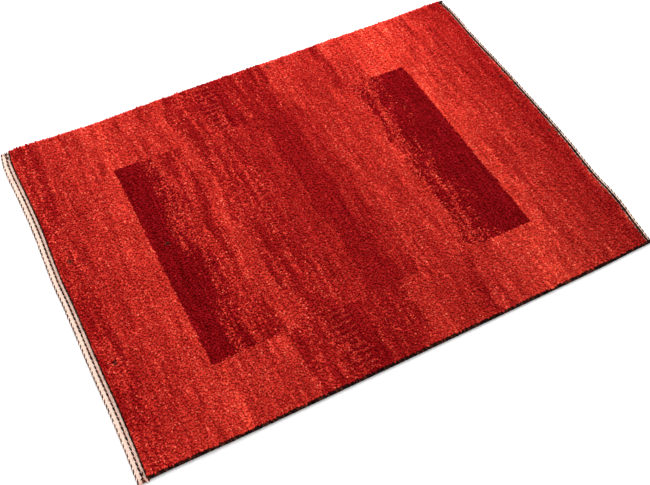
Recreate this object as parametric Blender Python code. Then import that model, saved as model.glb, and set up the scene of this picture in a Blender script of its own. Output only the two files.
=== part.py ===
"""Gabbeh rug: a thick knotted-wool rug that lies flat.

One woven cloth carries the pile and runs out into a flat-woven kilim band at each short end. Overcast
selvedges bind its long sides, dark twined rows cross the kilim bands, and a whip stitch closes each
band's outer edge. Metres, +Z up. The origin is under the middle of the rug, on the surface that it lies
on. X runs along the rug and Y across it, from the near side to the far side.
"""

import math
import random

import bmesh
import bpy
from mathutils import Vector, noise

MM = 0.001

# Overall size
RUG_LENGTH = 1202 * MM
RUG_WIDTH = 866 * MM

# Pile: tufts about 10 mm long on a ground of about 3 mm
PILE_TOP = 13.0 * MM
PILE_UNEVEN = 0.8 * MM
UNEVEN_WAVELENGTH = 95 * MM
TUFT_UNEVEN = 0.45 * MM
TUFT_WAVELENGTH = 31 * MM
SHOULDER_DROP = 0.7 * MM
SHOULDER_IN = 1.6 * MM
LOCK_DEPTH = 0.9 * MM
LOCK_RISE = 0.5 * MM
LOCK_CHANCE = 0.4
CORNER_PULL = 3.0 * MM

# Flat-woven ends, each with a dark twined row near its middle and one at the foot of the pile
KILIM_THICK = 2.6 * MM
KILIM_LEFT = 22.5 * MM
KILIM_RIGHT = 17.5 * MM
STEP_IN = 0.9 * MM
STEP_WIDE = 0.4 * MM

# Yarn bound or worked onto the cloth
GAP = 0.3 * MM
SELVEDGE_DIAMETER = 8.4 * MM
SELVEDGE_SIDES = 7
SELVEDGE_LUMP_PITCH = 24 * MM
SELVEDGE_LUMP = 0.09
LUMP_CHANCE = 0.4
SELVEDGE_TAPER = 0.86
TWINED_WIDE = 3.4 * MM
TWINED_HIGH = 1.6 * MM
TWIST_PITCH = 11 * MM
TWINED_MIDDLE_LEFT = 12.2 * MM
TWINED_MIDDLE_RIGHT = 8.2 * MM
STITCH_WIDE = 1.6 * MM
STITCH_HIGH = 2.8 * MM
STITCH_NOSE = 1.26 * MM
THIN_SHARE = 0.62
END_MARGIN = 1.5 * MM

# Mesh density of the cloth: the rim has two steps for each cell of the top
CELLS_ALONG = 41
CELLS_ACROSS = 30

# Rounds of correction that settle a point of the pile's foot, and the bend from which an edge is sharp
FOOT_ROUNDS = 3
SHARP_ANGLE = math.radians(40)

SEED = 11

# How far each edge lies inside the overall rectangle, in millimetres: (place along the edge, inset).
# The place is X on the long sides and Y on the ends.
FAR_SIDE = (
    (-590, 10.0),
    (-547, 8.0),
    (-467, 12.0),
    (-367, 14.0),
    (-297, 11.5),
    (-227, 9.5),
    (-67, 7.5),
    (113, 7.0),
    (273, 5.0),
    (373, 5.0),
    (453, 3.0),
    (533, 0.5),
    (590, 0.0),
)
NEAR_SIDE = (
    (-590, 3.0),
    (-467, 1.5),
    (-387, 0.5),
    (-67, 0.0),
    (273, 1.0),
    (453, 2.0),
    (533, 4.5),
    (590, 5.5),
)
LEFT_END = (
    (-430, 1.2),
    (-300, 3.2),
    (-180, 1.7),
    (-20, 1.7),
    (40, 0.0),
    (100, 1.2),
    (180, 3.7),
    (260, 3.2),
    (320, 1.2),
    (380, 0.0),
    (430, 6.0),
)
RIGHT_END = (
    (-430, 11.5),
    (-370, 6.7),
    (-290, 0.8),
    (-210, 4.2),
    (-110, 0.0),
    (70, 2.7),
    (190, 6.7),
    (290, 11.5),
    (380, 11.5),
    (430, 18.5),
)

# The pile's wall from its shoulder down, in millimetres, where the tufts lean over the selvedges and
# over the kilim bands: (ring, height at the sides, height at the ends, reach past the foot at the near
# side, at the far side and at the ends).
WALL = (
    ("tip", 10.3, 9.6, 4.0, 6.4, 2.7),
    ("wall", 8.7, 5.4, 0.0, 0.0, 0.0),
    ("kilim", 2.6, 2.6, 0.0, 0.0, 0.0),
    ("foot", 0.0, 0.0, 0.0, 0.0, 0.0),
)

# Colours of the wool: (red, green, blue) and roughness
WOOL = {
    "madder_red": ((0.43, 0.016, 0.010), 0.9),
    "orange_red": ((0.62, 0.052, 0.022), 0.9),
    "wine_red": ((0.13, 0.001, 0.003), 0.9),
    "undyed_cream": ((0.78, 0.52, 0.40), 0.95),
    "dark_brown": ((0.026, 0.010, 0.008), 0.9),
}

CLOTH_WOOLS = ("madder_red", "orange_red", "wine_red", "undyed_cream")

# Colour bands of the pile, from the left, in millimetres of X: (start, end, wool)
PANEL = {"near": -272, "far": 264}
PANEL_BANDS = (
    (-385, -330, "wine_red"),
    (-235, -195, "orange_red"),
    (45, 190, "orange_red"),
    (225, 372, "wine_red"),
)
BORDER_BANDS = (
    (-430, -225, "orange_red"),
    (45, 100, "orange_red"),
    (200, 375, "orange_red"),
)


def clear_scene():
    """Empties the scene."""
    for item in list(bpy.data.objects):
        bpy.data.objects.remove(item, do_unlink=True)


def wool(name):
    """The material of one wool."""
    found = bpy.data.materials.get(name)
    if found:
        return found
    colour, roughness = WOOL[name]
    made = bpy.data.materials.new(name)
    made.use_nodes = True
    shader = made.node_tree.nodes["Principled BSDF"]
    shader.inputs["Base Color"].default_value = (*colour, 1.0)
    shader.inputs["Roughness"].default_value = roughness
    shader.inputs["Metallic"].default_value = 0.0
    made.diffuse_color = (*colour, 1.0)
    return made


def on_curve(rows, place):
    """The value of a table of (place, value) rows at a place, in metres, on a smooth curve through them."""
    place = min(max(place / MM, rows[0][0]), rows[-1][0])
    last = len(rows) - 1
    i = max(k for k in range(last) if rows[k][0] <= place)

    def slope(k):
        before, after = rows[max(k - 1, 0)], rows[min(k + 1, last)]
        return (after[1] - before[1]) / (after[0] - before[0])

    span = rows[i + 1][0] - rows[i][0]
    t = (place - rows[i][0]) / span
    value = (
        (2 * t**3 - 3 * t**2 + 1) * rows[i][1]
        + (t**3 - 2 * t**2 + t) * span * slope(i)
        + (3 * t**2 - 2 * t**3) * rows[i + 1][1]
        + (t**3 - t**2) * span * slope(i + 1)
    )
    return max(value, 0.0) * MM


def near_edge(x):
    return -RUG_WIDTH / 2 + on_curve(NEAR_SIDE, x)


def far_edge(x):
    return RUG_WIDTH / 2 - on_curve(FAR_SIDE, x)


def left_edge(y):
    return -RUG_LENGTH / 2 + on_curve(LEFT_END, y)


def right_edge(y):
    return RUG_LENGTH / 2 - on_curve(RIGHT_END, y)


def near_foot(x):
    return near_edge(x) + SELVEDGE_DIAMETER + GAP


def far_foot(x):
    return far_edge(x) - SELVEDGE_DIAMETER - GAP


def left_band_sides():
    """The near and far limits of the left kilim band, which runs past the selvedges' ends to the corners."""
    return near_edge(-RUG_LENGTH / 2), far_edge(-RUG_LENGTH / 2)


def right_band_sides():
    """The near and far limits of the right kilim band, which lies between the selvedges."""
    return near_foot(RUG_LENGTH / 2), far_foot(RUG_LENGTH / 2)


def blend(a, b, t):
    return a + (b - a) * t


def foot_point(u, v):
    """A point inside the pile's foot, u of the way along the rug and v of the way across it."""
    x, y = (u - 0.5) * RUG_LENGTH, (v - 0.5) * RUG_WIDTH
    for _ in range(FOOT_ROUNDS):
        x = blend(left_edge(y) + KILIM_LEFT, right_edge(y) - KILIM_RIGHT, u)
        y = blend(near_foot(x), far_foot(x), v)
    return x, y


def pile_height(x, y):
    """The height of the pile's surface, which is gently uneven."""
    at = Vector((x, y, 0))
    swell = PILE_UNEVEN * noise.noise(at / UNEVEN_WAVELENGTH)
    tufts = TUFT_UNEVEN * noise.noise(at / TUFT_WAVELENGTH)
    return PILE_TOP + swell + tufts


def band_wool(x, y):
    """The wool that most of the pile has in a cell with its middle at x, y."""
    in_panel = PANEL["near"] * MM < y < PANEL["far"] * MM
    for start, end, name in PANEL_BANDS if in_panel else BORDER_BANDS:
        if start * MM < x < end * MM:
            return name
    return "madder_red"


def rim_places():
    """(u, v, side of X, side of Y) once round the rim, two steps for each cell, from the near left corner."""
    along, across = 2 * CELLS_ALONG, 2 * CELLS_ACROSS
    near = [(i / along, 0.0, 0, -1) for i in range(along)]
    right = [(1.0, j / across, 1, 0) for j in range(across)]
    far = [(1 - i / along, 1.0, 0, 1) for i in range(along)]
    left = [(0.0, 1 - j / across, -1, 0) for j in range(across)]
    places = near + right + far + left
    corners = {(0.0, 0.0): (-1, -1), (1.0, 0.0): (1, -1), (1.0, 1.0): (1, 1), (0.0, 1.0): (-1, 1)}
    return [(u, v, *corners.get((u, v), (sx, sy))) for u, v, sx, sy in places]


def rim_ring(mesh, places, row, dice):
    """One closed ring of points round the pile."""
    name, side_high, end_high, near_out, far_out, end_out = row
    ring = []
    for k, (u, v, sx, sy) in enumerate(places):
        x, y = foot_point(u, v)
        side_out = far_out if sy > 0 else near_out
        high = max(side_high if sy else 0, end_high if sx else 0)
        lock = 0.0
        if name == "tip":
            lock = LOCK_DEPTH / MM * ((-1) ** k * (1 - LOCK_CHANCE) + dice.uniform(-1, 1) * LOCK_CHANCE)
            high += LOCK_RISE / MM * dice.uniform(-1, 1)
        corner = CORNER_PULL / MM if sx and sy else 0.0
        x += sx * (end_out + lock - corner) * MM
        y += sy * (side_out + lock - corner) * MM
        ring.append(mesh.verts.new((x, y, high * MM)))
    return ring


def join_rings(mesh, upper, lower, skip=()):
    """Quads between two closed rings, apart from the steps in skip."""
    count = len(upper)
    for k in range(count):
        if k not in skip:
            after = (k + 1) % count
            mesh.faces.new((upper[k], lower[k], lower[after], upper[after]))


def pile_top(mesh):
    """The top of the pile: its rim ring and the cells inside it."""
    inset = SHOULDER_IN / RUG_LENGTH, SHOULDER_IN / RUG_WIDTH
    rows_along, rows_across = 2 * CELLS_ALONG, 2 * CELLS_ACROSS
    points = {}
    for i in range(rows_along + 1):
        for j in range(rows_across + 1):
            at_end, at_side = i in (0, rows_along), j in (0, rows_across)
            if not (at_end or at_side) and (i % 2 or j % 2):
                continue
            u = blend(inset[0], 1 - inset[0], i / rows_along)
            v = blend(inset[1], 1 - inset[1], j / rows_across)
            x, y = foot_point(u, v)
            if at_end and at_side:
                x -= math.copysign(CORNER_PULL, x)
                y -= math.copysign(CORNER_PULL, y)
            drop = SHOULDER_DROP * (at_end or at_side)
            points[i, j] = mesh.verts.new((x, y, pile_height(x, y) - drop))
    for i in range(0, rows_along, 2):
        for j in range(0, rows_across, 2):
            round_cell = (
                (i, j),
                (i + 1, j),
                (i + 2, j),
                (i + 2, j + 1),
                (i + 2, j + 2),
                (i + 1, j + 2),
                (i, j + 2),
                (i, j + 1),
            )
            face = mesh.faces.new([points[p] for p in round_cell if p in points])
            x = ((i + 1) / rows_along - 0.5) * RUG_LENGTH
            y = ((j + 1) / rows_across - 0.5) * RUG_WIDTH
            face.material_index = CLOTH_WOOLS.index(band_wool(x, y))
    near = [points[i, 0] for i in range(rows_along)]
    right = [points[rows_along, j] for j in range(rows_across)]
    far = [points[rows_along - i, rows_across] for i in range(rows_along)]
    left = [points[0, rows_across - j] for j in range(rows_across)]
    return near + right + far + left


def kilim_band(mesh, tops, feet, edge, inward, width, sides):
    """The flat weave that runs out of the pile's end wall, from its top and foot rows to the outer edge.

    sides are the near and far limits of the band past the selvedges' ends.
    """
    x = edge(0)
    beside_pile = near_foot(x), far_foot(x)
    outer = STITCH_WIDE + GAP
    sections = (
        (width - STEP_IN, beside_pile),
        (width - STEP_IN - STEP_WIDE, sides),
        (outer, sides),
    )
    wool_index = CLOTH_WOOLS.index("undyed_cream")
    last_top, last_foot = tops, feet
    low, high = sorted((feet[0].co.y, feet[-1].co.y))
    made = []
    for inset, limits in sections:
        top, foot = [], []
        for v in feet:
            y = blend(*limits, (v.co.y - low) / (high - low))
            x = edge(y) + inward * inset
            top.append(mesh.verts.new((x, y, KILIM_THICK)))
            foot.append(mesh.verts.new((x, y, 0)))
        for k in range(len(feet) - 1):
            made.append(mesh.faces.new((last_top[k], last_top[k + 1], top[k + 1], top[k])))
            made.append(mesh.faces.new((last_foot[k], foot[k], foot[k + 1], last_foot[k + 1])))
        for k in (0, -1):
            made.append(mesh.faces.new((last_top[k], top[k], foot[k], last_foot[k])))
        last_top, last_foot = top, foot
    for k in range(len(feet) - 1):
        made.append(mesh.faces.new((last_top[k], last_top[k + 1], last_foot[k + 1], last_foot[k])))
    for face in made:
        face.material_index = wool_index


def woven_cloth():
    """The one woven piece: ground and pile, with a kilim band at each end."""
    mesh = bmesh.new()
    dice = random.Random(SEED)
    places = rim_places()
    rings = [pile_top(mesh)] + [rim_ring(mesh, places, row, dice) for row in WALL]
    along, across = 2 * CELLS_ALONG, 2 * CELLS_ACROSS
    right_steps = range(along, along + across)
    left_steps = range(2 * along + across, 2 * along + 2 * across)
    for upper, lower in zip(rings[:-2], rings[1:-1]):
        join_rings(mesh, upper, lower)
    join_rings(mesh, rings[-2], rings[-1], skip={*right_steps, *left_steps})
    mesh.faces.new(list(reversed(rings[-1])))
    for steps, edge, inward, width, sides in (
        (right_steps, right_edge, -1, KILIM_RIGHT, right_band_sides()),
        (left_steps, left_edge, 1, KILIM_LEFT, left_band_sides()),
    ):
        ends = [k % len(places) for k in (*steps, steps[-1] + 1)]
        tops = [rings[-2][k] for k in ends]
        feet = [rings[-1][k] for k in ends]
        kilim_band(mesh, tops, feet, edge, inward, width, sides)
    bmesh.ops.recalc_face_normals(mesh, faces=mesh.faces)
    return finished("woven_cloth", mesh, CLOTH_WOOLS)


def finished(name, mesh, wools):
    """An object of this mesh, shaded smooth but for its sharp edges."""
    data = bpy.data.meshes.new(name)
    mesh.to_mesh(data)
    mesh.free()
    data.shade_smooth()
    data.set_sharp_from_angle(angle=SHARP_ANGLE)
    for wool_name in wools:
        data.materials.append(wool(wool_name))
    made = bpy.data.objects.new(name, data)
    bpy.context.scene.collection.objects.link(made)
    return made


def rolled(name, sections, wool_name):
    """One closed body through rings of equal count, with flat ends."""
    mesh = bmesh.new()
    rings = [[mesh.verts.new(point) for point in section] for section in sections]
    for a, b in zip(rings, rings[1:]):
        for k in range(len(a)):
            after = (k + 1) % len(a)
            mesh.faces.new((a[k], a[after], b[after], b[k]))
    mesh.faces.new(rings[0])
    mesh.faces.new(list(reversed(rings[-1])))
    bmesh.ops.recalc_face_normals(mesh, faces=mesh.faces)
    return finished(name, mesh, [wool_name])


def selvedge(name, edge, inward, start, end, seed):
    """Overcast binding along one long side: a round roll of wraps, flat where it lies on the surface."""
    dice = random.Random(seed)
    steps = round(2 * (end - start) / SELVEDGE_LUMP_PITCH)
    sections = []
    for k in range(steps + 1):
        x = blend(start, end, k / steps)
        taper = SELVEDGE_TAPER if k in (0, steps) else 1.0
        lump = (k % 2) * (1 - LUMP_CHANCE) + dice.uniform(0, LUMP_CHANCE)
        radius = SELVEDGE_DIAMETER / 2 * (1 - SELVEDGE_LUMP * lump) * taper
        y = edge(x) + inward * SELVEDGE_DIAMETER / 2
        rise = radius * math.cos(math.pi / SELVEDGE_SIDES)
        ring = []
        for side in range(SELVEDGE_SIDES):
            turn = 2 * math.pi * (side + 0.5) / SELVEDGE_SIDES
            across, up = radius * math.sin(turn), rise - radius * math.cos(turn)
            ring.append((x, y + across, up))
        sections.append(ring)
    return rolled(name, sections, "dark_brown")


def worked_row(name, edge, inward, middle, section, low, high):
    """A row of yarn along a kilim band, fat at each twist and thin between twists."""
    twists = round((high - low) / TWIST_PITCH)
    sections = []
    for k in range(2 * twists + 1):
        y = blend(low, high, k / (2 * twists))
        x = edge(y) + inward * middle
        size = 1.0 if k % 2 else THIN_SHARE
        sections.append([(x + inward * dx, y, z) for dx, z in section(size)])
    return rolled(name, sections, "dark_brown")


def twined_section(size):
    """Across a twined row, which lies on the kilim band: (inward, height) of its two feet and its crown."""
    base = KILIM_THICK + GAP
    half = TWINED_WIDE / 2 * size
    return (-half, base), (half, base), (0.0, base + TWINED_HIGH * size)


def stitch_section(size):
    """Across the whip stitch: its two ends beside the kilim band's edge, and its loop outside it."""
    outer = STITCH_WIDE * (1 - size)
    return (STITCH_WIDE, 0.0), (STITCH_WIDE, STITCH_HIGH), (outer, STITCH_NOSE)


def end_rows(side, edge, inward, width, middle_row, band_sides):
    """The worked rows of one kilim band."""
    low, high = band_sides[0] + END_MARGIN, band_sides[1] - END_MARGIN
    inner_row = width - GAP - TWINED_WIDE / 2
    worked_row(f"edge_stitch_{side}", edge, inward, 0.0, stitch_section, low, high)
    worked_row(f"twined_row_outer_{side}", edge, inward, middle_row, twined_section, low, high)
    worked_row(f"twined_row_inner_{side}", edge, inward, inner_row, twined_section, low, high)


def main():
    clear_scene()
    woven_cloth()

    end_rows("left", left_edge, 1, KILIM_LEFT, TWINED_MIDDLE_LEFT, left_band_sides())
    end_rows("right", right_edge, -1, KILIM_RIGHT, TWINED_MIDDLE_RIGHT, right_band_sides())

    for name, edge, inward, seed in (
        ("selvedge_near", near_edge, 1, SEED + 1),
        ("selvedge_far", far_edge, -1, SEED + 2),
    ):
        y = edge(0)
        start = left_edge(y) + KILIM_LEFT + STEP_IN
        end = right_edge(y) - END_MARGIN
        selvedge(name, edge, inward, start, end, seed)


main()
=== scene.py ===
"""Gabbeh rug: the wool of its pile, kilim bands, twined rows and selvedges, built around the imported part.

Metres, +Z up. X runs along the rug, Y across it from the near side to the far side, and the rug lies on
Z = 0. Tables are in millimetres. Each row of knots runs across the rug.
"""

import math

import bpy
import numpy as np
from bpy.props import FloatProperty, FloatVectorProperty, IntProperty, PointerProperty
from bpy.types import Operator, Panel, PropertyGroup
from mathutils import Matrix, Vector, noise


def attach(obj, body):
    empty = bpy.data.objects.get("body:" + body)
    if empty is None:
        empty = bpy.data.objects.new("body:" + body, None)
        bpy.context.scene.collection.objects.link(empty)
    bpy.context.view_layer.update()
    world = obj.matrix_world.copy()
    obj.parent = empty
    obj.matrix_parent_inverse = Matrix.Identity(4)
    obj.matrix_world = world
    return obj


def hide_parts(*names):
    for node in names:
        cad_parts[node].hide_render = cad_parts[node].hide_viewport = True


bl_info = {
    "name": "Gabbeh Rug",
    "version": (1, 0, 0),
    "blender": (4, 5, 0),
    "location": "View3D > Sidebar > Rug",
    "description": "Builds the knotted wool pile, woven ends and bound edges of a gabbeh rug",
    "category": "Object",
}

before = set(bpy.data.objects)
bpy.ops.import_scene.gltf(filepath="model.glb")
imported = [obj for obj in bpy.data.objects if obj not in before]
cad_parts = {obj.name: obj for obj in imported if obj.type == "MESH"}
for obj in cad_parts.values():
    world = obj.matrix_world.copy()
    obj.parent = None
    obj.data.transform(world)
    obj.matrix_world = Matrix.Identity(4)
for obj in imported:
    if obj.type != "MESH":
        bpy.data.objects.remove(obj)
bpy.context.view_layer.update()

MM = 0.001
BODY = "root"

# Overall size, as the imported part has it
RUG_LENGTH = 1202 * MM
RUG_WIDTH = 866 * MM
PILE_TOP = 13.0 * MM
PILE_UNEVEN = 0.8 * MM
UNEVEN_WAVELENGTH = 95 * MM
TUFT_UNEVEN = 0.45 * MM
TUFT_WAVELENGTH = 31 * MM
KILIM_THICK = 2.6 * MM
KILIM_LEFT = 22.5 * MM
KILIM_RIGHT = 17.5 * MM
SELVEDGE_DIAMETER = 8.4 * MM
GAP = 0.3 * MM
STITCH_WIDE = 1.6 * MM
TWINED_MIDDLE_LEFT = 12.2 * MM
TWINED_MIDDLE_RIGHT = 8.2 * MM
TWINED_WIDE = 3.4 * MM
END_MARGIN = 1.5 * MM

# How far each edge lies inside the overall rectangle: (place along the edge, inset)
FAR_SIDE = (
    (-590, 10.0),
    (-547, 8.0),
    (-467, 12.0),
    (-367, 14.0),
    (-297, 11.5),
    (-227, 9.5),
    (-67, 7.5),
    (113, 7.0),
    (273, 5.0),
    (373, 5.0),
    (453, 3.0),
    (533, 0.5),
    (590, 0.0),
)
NEAR_SIDE = (
    (-590, 3.0),
    (-467, 1.5),
    (-387, 0.5),
    (-67, 0.0),
    (273, 1.0),
    (453, 2.0),
    (533, 4.5),
    (590, 5.5),
)
LEFT_END = (
    (-430, 1.2),
    (-300, 3.2),
    (-180, 1.7),
    (-20, 1.7),
    (40, 0.0),
    (100, 1.2),
    (180, 3.7),
    (260, 3.2),
    (320, 1.2),
    (380, 0.0),
    (430, 6.0),
)
RIGHT_END = (
    (-430, 11.5),
    (-370, 6.7),
    (-290, 0.8),
    (-210, 4.2),
    (-110, 0.0),
    (70, 2.7),
    (190, 6.7),
    (290, 11.5),
    (380, 11.5),
    (430, 18.5),
)

# Dyed and undyed wools, as scene-linear red, green and blue
WOOLS = {
    "orange": (0.86, 0.063, 0.034),
    "bright": (0.645, 0.038, 0.024),
    "madder": (0.46, 0.0175, 0.0130),
    "deep": (0.34, 0.0072, 0.0072),
    "wine": (0.25, 0.0026, 0.0048),
    "dark": (0.168, 0.001, 0.0027),
    "brown": (0.075, 0.020, 0.012),
    "black": (0.016, 0.006, 0.005),
    "peach": (0.74, 0.42, 0.34),
    "cream": (0.92, 0.68, 0.56),
}

# The chart of the knots outside the middle field, from the left, in millimetres of X: the wool that most
# knots have, the one that specks it, and the share of specks
SURROUND = (
    (-602, "madder", "bright", 0.30),
    (-575, "deep", "bright", 0.35),
    (-530, "madder", "bright", 0.30),
    (-482, "bright", "madder", 0.45),
    (-432, "bright", "madder", 0.15),
    (-388, "bright", "orange", 0.30),
    (-368, "bright", "madder", 0.20),
    (-340, "bright", "madder", 0.45),
    (-242, "bright", "madder", 0.10),
    (-224, "deep", "bright", 0.22),
    (-137, "wine", "bright", 0.10),
    (-92, "deep", "wine", 0.25),
    (-62, "deep", "bright", 0.15),
    (43, "bright", "madder", 0.42),
    (98, "madder", "bright", 0.10),
    (178, "deep", "madder", 0.35),
    (198, "bright", "madder", 0.45),
    (268, "bright", "orange", 0.05),
    (318, "bright", "orange", 0.45),
    (372, "bright", "orange", 0.08),
    (412, "bright", "madder", 0.55),
    (488, "madder", "deep", 0.10),
    (538, "deep", "madder", 0.30),
    (575, "madder", "bright", 0.35),
)

# The same for the field
FIELD = (
    (-385, "wine", "dark", 0.10),
    (-332, "wine", "bright", 0.30),
    (-290, "deep", "bright", 0.40),
    (-227, "bright", "madder", 0.30),
    (-197, "deep", "bright", 0.30),
    (-92, "madder", "deep", 0.40),
    (-27, "deep", "wine", 0.15),
    (43, "madder", "deep", 0.40),
    (88, "madder", "bright", 0.35),
    (188, "bright", "madder", 0.30),
    (223, "wine", "bright", 0.34),
    (262, "wine", "bright", 0.09),
    (302, "wine", "dark", 0.10),
)

# The field's ends, in X, and its sides, in Y, with both values where its corners differ
FIELD_ENDS = {"left": -385, "right_near": 378, "right_far": 363}
FIELD_SIDES = {"near_left": -272, "near_right": -264, "far": 265}

# Combs of light rungs that lie along X: (start, end, share of rungs)
COMBS = ((-137, -92, 0.42), (268, 318, 0.30))
RUNG_PITCH = 14.0
RUNG_LIGHT = 0.5

# How far the knots of two neighbouring bands mix, and how far the bands wander from straight rows
FRAY = 9.0
WANDER = 30.0

# The share of plies that have faded, and what that does to their red, green and blue
PALE_SHARE = 0.12
FADE = (1.3, 3.0, 2.8)

# How much lighter the wool is painted towards the far right corner, and darker towards the near right one,
# growing from nothing at the left end: painted light and shade
PAINTED_LIGHT_SLOPE = 0.38

# Single knots of undyed brown wool: (x, y), then their radius and how strongly they cover the dyed wool
STRAY_KNOTS = ((-552, 78), (-552, -182), (565, 131), (573, -66), (-354, 31), (62, 404))
STRAY_SIZE = 4.5
STRAY_COVER = 0.85

# A ply is a small cell of wool that draws its own colour from the chart
PLY = 3.5 * MM

# Scales of the noises, along the rug, across it and upwards: abrash, the bands' wander and streaks of dye.
# The last, of groups of knots, is alike every way
ABRASH_SCALE = (50.0, 6.0, 1.0)
WANDER_SCALE = (4.0, 11.0, 1.0)
STREAK_SCALE = (170.0, 9.0, 1.0)
KNOT_GROUP_SCALE = 110.0

# What the finish's Streaks and Unevenness are multiplied by, because a noise seldom leaves its middle
STREAK_GAIN = 4.0
UNEVEN_GAIN = 2.0

# The darkest and lightest that the finish may make a wool, as shares of its colour
DARKEST = 0.03
LIGHTEST = 1.5

# Roughness between the fibres, what a fibre adds to it, how high it stands and how strongly that shows, and
# the wool's faint sheen
ROUGHNESS = 0.75
FIBRE_ROUGHNESS = 0.2
FIBRE_RELIEF = 0.5 * MM
FIBRE_BUMP = 0.8
WOOL_SHEEN = 0.03

# Scales of the fibres: on a yarn's own map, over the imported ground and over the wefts
YARN_FIBRES = (11.0, 1.4, 0.0)
YARN_MAP_SHIFT = 40.0
GROUND_FIBRES = (2200.0, 900.0, 900.0)
WEFT_FIBRES = (2600.0, 500.0, 900.0)

# What cut pile has beyond spun yarn: a deeper red where it is darker, painted shade included, and a softer
# shading.
# The imported ground gets the painted shade that a tuft has at this share of its height
PILE_RICHNESS = 1.9
NAP_SOFTNESS = 0.5
GROUND_TIP = 0.6

# Pink specks of the kilim: their cell and its stretch across the rug, their share at the outer edge and what
# each metre inward adds to it, and how strongly they cover the cream
SPECK_CELL = 1.2 * MM
SPECK_STRETCH = (1.0, 0.3, 1.0)
SPECK_AT_EDGE = -0.05
SPECK_INWARD = 22.0
SPECK_COVER = 0.7

# The part of its cell, on each side, that a yarn's bake map leaves free
CELL_MARGIN = 0.08

# The tufts are made in strips, so that each piece stays light
PILE_STRIPS = 4

# Faces of the ground and the kilim that meet at more than this angle keep a crisp edge
SHARP_ANGLE = math.radians(60)


def length_setting(name, description, default):
    """A length among the rug's settings."""
    return FloatProperty(name=name, description=description, default=default, unit="LENGTH")


def angle_setting(name, description, degrees):
    """An angle among the rug's settings."""
    return FloatProperty(name=name, description=description, default=math.radians(degrees), subtype="ANGLE")


class RugSettings(PropertyGroup):
    """Sizes and finish of the rug's wool."""

    knot_pitch: length_setting("Knot pitch", "Distance between knots, along and across the rug", 4.0 * MM)
    tuft_length: length_setting(
        "Tuft length", "Length of the part of each tuft that stands above the packed ground", 6.2 * MM
    )
    tuft_width: length_setting("Tuft width", "Width of a tuft where it is fullest", 5.3 * MM)
    pile_lean: angle_setting("Pile lean", "Tilt of the whole pile towards the near side", 34)
    pile_ruffle: angle_setting("Pile ruffle", "Random tilt of each tuft", 17)
    wrap_pitch: length_setting("Wrap pitch", "Distance between the wool wraps of a selvedge", 3.0 * MM)
    twist_pitch: length_setting("Twist pitch", "Length of one float of a twined row", 5.5 * MM)
    stitch_pitch: length_setting(
        "Stitch pitch", "Distance between the stitches along the outer edge of a kilim band", 5.5 * MM
    )
    weft_pitch: length_setting("Weft pitch", "Distance between the wefts of a kilim band", 1.45 * MM)
    warp_pitch: length_setting("Warp pitch", "Distance between the warps of a kilim band", 3.6 * MM)
    floor_colour: FloatVectorProperty(
        name="Floor colour",
        description="Colour of the studio floor",
        default=(0.92, 0.92, 0.92),
        subtype="COLOR",
        min=0.0,
        max=1.0,
    )
    seed: IntProperty(
        name="Seed",
        description="Seed of every random draw",
        default=11,
    )


def on_curve(rows, place):
    """Values, in metres, of a table of (place, value) rows at places, on a smooth curve through them."""
    at, value = np.array(rows, float).T * MM
    slope = np.empty(len(at))
    slope[1:-1] = (value[2:] - value[:-2]) / (at[2:] - at[:-2])
    slope[0] = (value[1] - value[0]) / (at[1] - at[0])
    slope[-1] = (value[-1] - value[-2]) / (at[-1] - at[-2])
    place = np.clip(np.asarray(place, float), at[0], at[-1])
    i = np.clip(np.searchsorted(at, place, side="right") - 1, 0, len(at) - 2)
    span = at[i + 1] - at[i]
    t = (place - at[i]) / span
    found = (
        (2 * t**3 - 3 * t**2 + 1) * value[i]
        + (t**3 - 2 * t**2 + t) * span * slope[i]
        + (3 * t**2 - 2 * t**3) * value[i + 1]
        + (t**3 - t**2) * span * slope[i + 1]
    )
    return np.maximum(found, 0.0)


def near_edge(x):
    return -RUG_WIDTH / 2 + on_curve(NEAR_SIDE, x)


def far_edge(x):
    return RUG_WIDTH / 2 - on_curve(FAR_SIDE, x)


def left_edge(y):
    return -RUG_LENGTH / 2 + on_curve(LEFT_END, y)


def right_edge(y):
    return RUG_LENGTH / 2 - on_curve(RIGHT_END, y)


def near_foot(x):
    return near_edge(x) + SELVEDGE_DIAMETER + GAP


def far_foot(x):
    return far_edge(x) - SELVEDGE_DIAMETER - GAP


def blend(a, b, t):
    return a + (b - a) * t


def foot_point(u, v):
    """Points inside the pile's foot, u of the way along the rug and v of the way across it."""
    x, y = (u - 0.5) * RUG_LENGTH, (v - 0.5) * RUG_WIDTH
    for _ in range(3):
        x = blend(left_edge(y) + KILIM_LEFT, right_edge(y) - KILIM_RIGHT, u)
        y = blend(near_foot(x), far_foot(x), v)
    return x, y


def pile_height(x, y):
    """The height of the pile's surface, which is gently uneven."""
    found = []
    for at in zip(x, y):
        place = Vector((*at, 0))
        swell = PILE_UNEVEN * noise.noise(place / UNEVEN_WAVELENGTH)
        tufts = TUFT_UNEVEN * noise.noise(place / TUFT_WAVELENGTH)
        found.append(PILE_TOP + swell + tufts)
    return np.array(found)


def node(tree, kind, inputs=None, **settings):
    """A new node of a tree, with its settings, and its inputs by name as sockets to link or as values."""
    made = tree.nodes.new(kind)
    for name, value in settings.items():
        setattr(made, name, value)
    for name, value in (inputs or {}).items():
        socket = made.inputs[name]
        if isinstance(value, bpy.types.NodeSocket):
            tree.links.new(value, socket)
        else:
            socket.default_value = value
    return made


def maths(tree, operation, *values, clamp=False):
    """The result of a Math node."""
    made = node(tree, "ShaderNodeMath", dict(enumerate(values)), operation=operation, use_clamp=clamp)
    return made.outputs[0]


def vectors(tree, operation, *values):
    """The vector that a Vector Math node gives."""
    made = node(tree, "ShaderNodeVectorMath", dict(enumerate(values)), operation=operation)
    return made.outputs[0]


def scaled(tree, vector, scale):
    """A vector times a number."""
    made = node(tree, "ShaderNodeVectorMath", {0: vector, "Scale": scale}, operation="SCALE")
    return made.outputs[0]


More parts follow.
